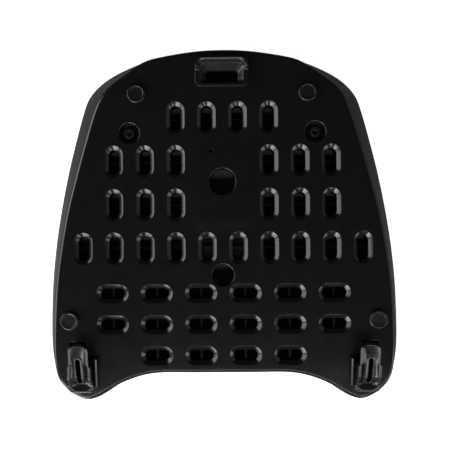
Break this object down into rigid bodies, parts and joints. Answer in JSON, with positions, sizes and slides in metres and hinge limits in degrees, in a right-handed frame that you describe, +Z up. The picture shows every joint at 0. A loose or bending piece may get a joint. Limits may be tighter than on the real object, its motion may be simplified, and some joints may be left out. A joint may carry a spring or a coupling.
{
  "type": "top case mounting plate",
  "caption": "Black slotted plate with a flared skirt, front hooks, a rear latch keeper, rubber buffers and recessed socket screws, which carries a motorbike's top case.",
  "frame": {"origin": "middle of the bounding box, on the plane that the skirt's lower edge stands on", "axes": "+Z up to the case, +Y to the rear latch keeper, +X to the right seen from above with the latch away from the viewer"},
  "size_m": [0.2882, 0.2896, 0.039],
  "materials": {
    "black_plastic": "satin",
    "black_rubber": "matte",
    "black_steel": "satin",
    "zinc_steel": "satin"
  },
  "bodies": {
    "root": {"plate": "black_plastic", "buffer_rear_right": "black_rubber", "buffer_rear_left": "black_rubber", "buffer_front_right": "black_rubber", "buffer_front_left": "black_rubber", "screw_right": "black_steel", "screw_left": "black_steel", "washer_right": "zinc_steel", "washer_left": "zinc_steel", "nut_right": "zinc_steel", "nut_left": "zinc_steel"}
  },
  "joints": []
}
